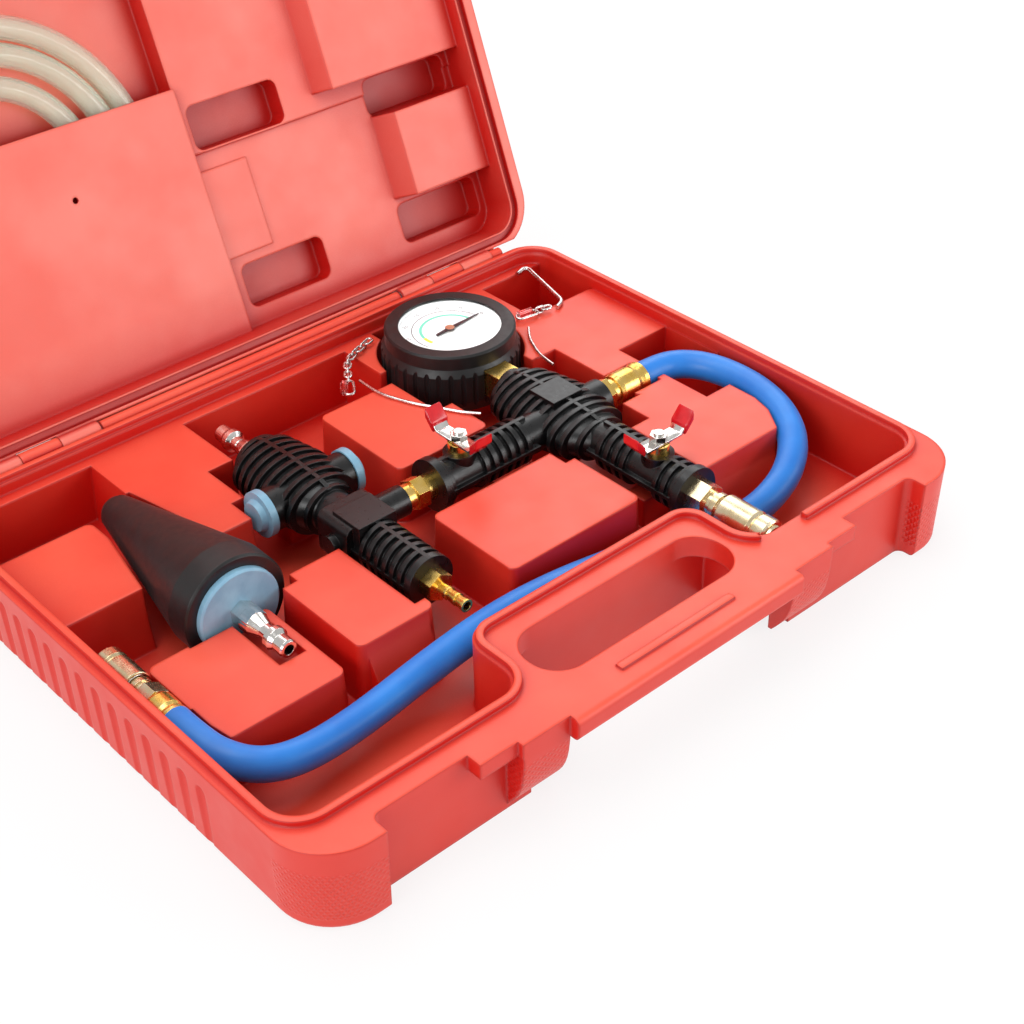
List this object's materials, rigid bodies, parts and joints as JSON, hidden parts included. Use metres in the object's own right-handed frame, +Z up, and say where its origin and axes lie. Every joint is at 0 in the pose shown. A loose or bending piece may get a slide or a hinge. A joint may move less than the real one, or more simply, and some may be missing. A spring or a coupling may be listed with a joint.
{
  "type": "coolant vacuum filler",
  "caption": "Cooling system vacuum refill kit in an open moulded case: gauge, valve manifold, venturi pump, rubber cone and hoses.",
  "frame": {"origin": "middle of the case's flat underside, on the surface it rests on", "axes": "+X to the right along the front, +Y from the carrying handle to the hinge, +Z up"},
  "size_m": [0.406, 0.4765, 0.3569],
  "materials": {
    "case_red": "blow-moulded red polyethylene with a soft sheen",
    "nylon_black": "moulded black glass-filled nylon",
    "brass": "turned brass",
    "chrome": "nickel-chrome plated",
    "steel_wire": "zinc plated steel",
    "vinyl_red": "dipped red vinyl",
    "hose_blue": "blue rubber air hose",
    "rubber_black": "moulded black rubber",
    "disc_blue": "pale blue-grey moulded plastic",
    "dial_white": "printed white dial",
    "needle_black": "black lacquered needle",
    "lens_clear": "clear polycarbonate",
    "ptfe": "white fluoropolymer",
    "clear_pvc": "clear flexible vinyl",
    "sleeve_pink": "clear pink vinyl"
  },
  "bodies": {
    "case": {"case_base": "case_red", "hinge_pins": "steel_wire", "manifold_body": "nylon_black", "union_fitting": "brass", "venturi_body": "nylon_black", "venturi_nozzle": "brass", "exhaust_silencers": "disc_blue", "tail_barb_fitting": "brass", "venturi_air_nipple": "chrome", "cone_rubber": "rubber_black", "cone_washer": "disc_blue", "cone_nipple": "chrome", "gauge_boot": "rubber_black", "gauge_can": "steel_wire", "gauge_dial": "dial_white", "gauge_spacer_ring": "dial_white", "gauge_lens": "lens_clear", "gauge_movement": "brass", "bourdon_tube": "brass", "gauge_stem": "brass", "front_coupler_body": "brass", "front_coupler_spring": "steel_wire", "hose_coupler_body": "brass", "hose_coupler_spring": "steel_wire", "hose_swivel": "brass", "hose_ferrules": "brass", "blue_hose": "hose_blue", "hanger_hook": "steel_wire", "hanger_wires": "steel_wire", "hanger_chains": "steel_wire", "hanger_clips": "steel_wire", "clip_sleeves": "sleeve_pink", "left_arm_collar": "nylon_black", "left_valve_seats": "ptfe", "left_stem_gland": "brass", "front_arm_collar": "nylon_black", "front_valve_seats": "ptfe", "front_stem_gland": "brass"},
    "lid": {"case_lid": "case_red", "latch_pins": "steel_wire", "clear_hose": "clear_pvc"},
    "left_latch": {"left_latch": "case_red"},
    "right_latch": {"right_latch": "case_red"},
    "left_valve": {"left_valve_ball": "chrome", "left_valve_stem": "chrome", "left_valve_handle": "chrome", "left_handle_grips": "vinyl_red", "left_valve_nut": "chrome"},
    "front_valve": {"front_valve_ball": "chrome", "front_valve_stem": "chrome", "front_valve_handle": "chrome", "front_handle_grips": "vinyl_red", "front_valve_nut": "chrome"},
    "needle": {"gauge_needle": "needle_black"},
    "front_sleeve": {"front_coupler_sleeve": "brass"},
    "hose_sleeve": {"hose_coupler_sleeve": "brass"}
  },
  "joints": [
    {"name": "lid_hinge", "type": "hinge", "parent": "case", "child": "lid", "pos_m": [0, 0.1585, 0.0438], "axis": [-1, 0, 0], "range_deg": [-111.7, 0]},
    {"name": "left_latch_pivot", "type": "hinge", "parent": "lid", "child": "left_latch", "pos_m": [-0.106, 0.2895, 0.32972], "axis": [-1, 0, 0], "range_deg": [-65, 0]},
    {"name": "right_latch_pivot", "type": "hinge", "parent": "lid", "child": "right_latch", "pos_m": [0.106, 0.2895, 0.32972], "axis": [-1, 0, 0], "range_deg": [-65, 0]},
    {"name": "left_valve_turn", "type": "hinge", "parent": "case", "child": "left_valve", "pos_m": [0.01852, 0.01349, 0.0358], "axis": [0, 0, 1], "range_deg": [0, 90]},
    {"name": "front_valve_turn", "type": "hinge", "parent": "case", "child": "front_valve", "pos_m": [0.08852, -0.05451, 0.0358], "axis": [0, 0, 1], "range_deg": [0, 90]},
    {"name": "needle_sweep", "type": "hinge", "parent": "case", "child": "needle", "pos_m": [0.08852, 0.10249, 0.0494], "axis": [0, 0, 1], "range_deg": [0, 190], "stiffness_Nm_per_rad": 0.0001},
    {"name": "front_sleeve_slide", "type": "slide", "parent": "case", "child": "front_sleeve", "axis": [0, 1, 0], "range_m": [0, 0.003], "stiffness_N_per_m": 400, "springref_m": -0.001},
    {"name": "hose_sleeve_slide", "type": "slide", "parent": "case", "child": "hose_sleeve", "axis": [0, -1, 0], "range_m": [0, 0.0024], "stiffness_N_per_m": 400, "springref_m": -0.001}
  ]
}
